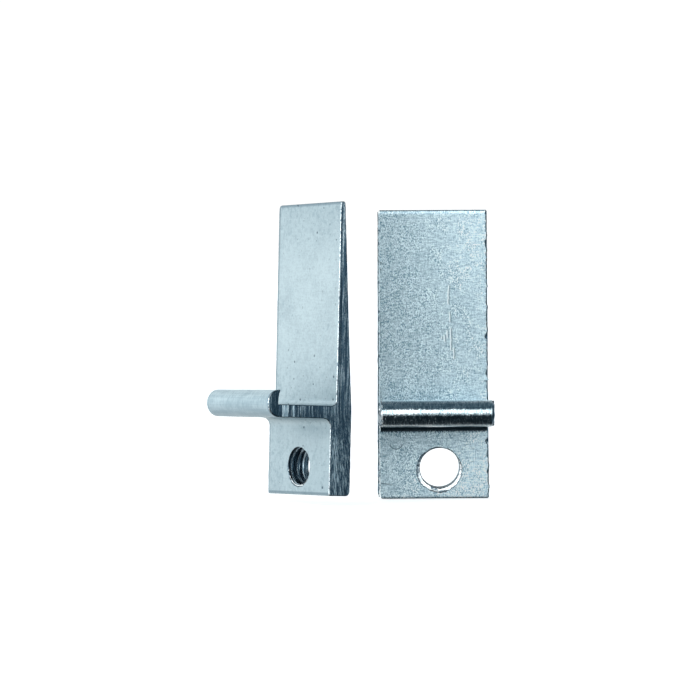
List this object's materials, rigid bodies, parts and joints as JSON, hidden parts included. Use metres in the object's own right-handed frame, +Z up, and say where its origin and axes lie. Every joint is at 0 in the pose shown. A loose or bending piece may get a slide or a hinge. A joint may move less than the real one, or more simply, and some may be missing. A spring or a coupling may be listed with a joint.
{
  "type": "door hinge",
  "caption": "Hook-in door hinge leaves: wedge plates, each with an arm, a half-round hinge pin across its front and a tapped hole.",
  "frame": {"origin": "where the axis of the right leaf's tapped hole meets that leaf's back face", "axes": "+Z up along the leaves' height, +X along the right leaf's hinge pin, -Y the way the right leaf faces"},
  "size_m": [0.049, 0.0265, 0.0516],
  "materials": {
    "leaf_metal": "matt, finely grained faces with sawn ends",
    "pin_metal": "smooth and bright, drawn along its length"
  },
  "bodies": {
    "right": {"right_leaf": "leaf_metal", "right_hinge_pin": "pin_metal"},
    "left": {"left_leaf": "leaf_metal", "left_hinge_pin": "pin_metal"}
  },
  "joints": [
    {"name": "left_leaf_swing", "type": "hinge", "parent": "right", "child": "left", "pos_m": [-0.03319, -0.01642, 0.01217], "axis": [0.5472, -0.8362, 0.0375], "range_deg": [0, 90]}
  ]
}
